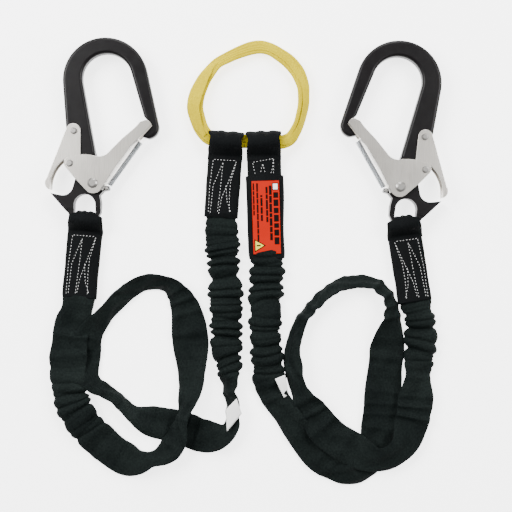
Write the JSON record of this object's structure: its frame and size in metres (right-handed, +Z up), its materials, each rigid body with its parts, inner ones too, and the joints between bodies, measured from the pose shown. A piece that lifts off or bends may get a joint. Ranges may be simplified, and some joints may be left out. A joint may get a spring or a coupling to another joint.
{
  "type": "shock absorbing lanyard",
  "caption": "Twin-leg shock absorbing lanyard lying flat: stretch webbing legs in loops, sewn ends, locking scaffold hooks and a yellow webbing tether loop.",
  "frame": {"origin": "on the surface that the lanyard lies on, under the middle of its hooks, sewn eyes and tether loop", "axes": "+X across from the left hook to the right one, +Y towards the hooks' bows, +Z up from the surface"},
  "size_m": [0.5201, 0.5817, 0.03],
  "materials": {
    "black_alloy": "satin black anodised",
    "plated_steel": "zinc plated",
    "spring_steel": "bright wire",
    "black_webbing": "woven, dark green-black",
    "stretch_core": "woven elastic",
    "yellow_webbing": "woven",
    "white_tag": "printed ribbon",
    "orange_label": "printed vinyl"
  },
  "bodies": {
    "legs": {"left_hook_eye": "black_webbing", "left_wear_pad": "black_webbing", "left_middle_eye": "black_webbing", "left_leg_jacket": "black_webbing", "left_leg_core": "stretch_core", "left_tag": "white_tag", "right_hook_eye": "black_webbing", "right_wear_pad": "black_webbing", "right_middle_eye": "black_webbing", "right_leg_jacket": "black_webbing", "right_leg_core": "stretch_core", "right_tag": "white_tag", "label_sleeve": "black_webbing", "printed_label": "orange_label"},
    "left_hook": {"left_hook_body": "black_alloy", "left_gate_rivet": "plated_steel", "left_lever_rivet": "plated_steel", "left_spring_anchor": "plated_steel", "left_lever_spring": "spring_steel"},
    "right_hook": {"right_hook_body": "black_alloy", "right_gate_rivet": "plated_steel", "right_lever_rivet": "plated_steel", "right_spring_anchor": "plated_steel", "right_lever_spring": "spring_steel"},
    "left_gate_body": {"left_gate": "plated_steel", "left_lock_pin": "plated_steel", "left_gate_spring": "spring_steel"},
    "right_gate_body": {"right_gate": "plated_steel", "right_lock_pin": "plated_steel", "right_gate_spring": "spring_steel"},
    "left_lever_body": {"left_lock_lever": "plated_steel"},
    "right_lever_body": {"right_lock_lever": "plated_steel"},
    "tether": {"tether_loop": "yellow_webbing"}
  },
  "joints": [
    {"name": "left_hook_swing", "type": "hinge", "parent": "legs", "child": "left_hook", "pos_m": [-0.2078, -0.0646, 0.015], "axis": [1, 0, 0], "range_deg": [0, 90]},
    {"name": "left_gate_swing", "type": "hinge", "parent": "left_hook", "child": "left_gate_body", "pos_m": [-0.1968, -0.0181, 0.015], "axis": [0, 0, 1], "range_deg": [0, 42], "stiffness_Nm_per_rad": 0.25, "springref_deg": -28.65, "deforming": ["left_gate_spring"]},
    {"name": "left_lever_squeeze", "type": "hinge", "parent": "left_hook", "child": "left_lever_body", "pos_m": [-0.2213, 0.0494, 0.015], "axis": [0, 0, 1], "range_deg": [0, 10.5], "stiffness_Nm_per_rad": 0.2, "springref_deg": -17.19, "deforming": ["left_lever_spring"]},
    {"name": "right_hook_swing", "type": "hinge", "parent": "legs", "child": "right_hook", "pos_m": [0.20603, -0.07043, 0.015], "axis": [0.994, -0.1097, 0], "range_deg": [0, 90]},
    {"name": "right_gate_swing", "type": "hinge", "parent": "right_hook", "child": "right_gate_body", "pos_m": [0.2002, -0.023, 0.015], "axis": [0, 0, -1], "range_deg": [0, 42], "stiffness_Nm_per_rad": 0.25, "springref_deg": -28.65, "deforming": ["right_gate_spring"]},
    {"name": "right_lever_squeeze", "type": "hinge", "parent": "right_hook", "child": "right_lever_body", "pos_m": [0.23196, 0.0414, 0.015], "axis": [0, 0, -1], "range_deg": [0, 10.5], "stiffness_Nm_per_rad": 0.2, "springref_deg": -17.19, "deforming": ["right_lever_spring"]},
    {"name": "tether_swing", "type": "hinge", "parent": "legs", "child": "tether", "pos_m": [0, 0.037, 0.015], "axis": [1, 0, 0], "range_deg": [0, 90]}
  ],
  "couplings": [
    {"joint": "left_lever_squeeze", "follows": "left_gate_swing", "ratio": 0.25},
    {"joint": "right_lever_squeeze", "follows": "right_gate_swing", "ratio": 0.25}
  ]
}
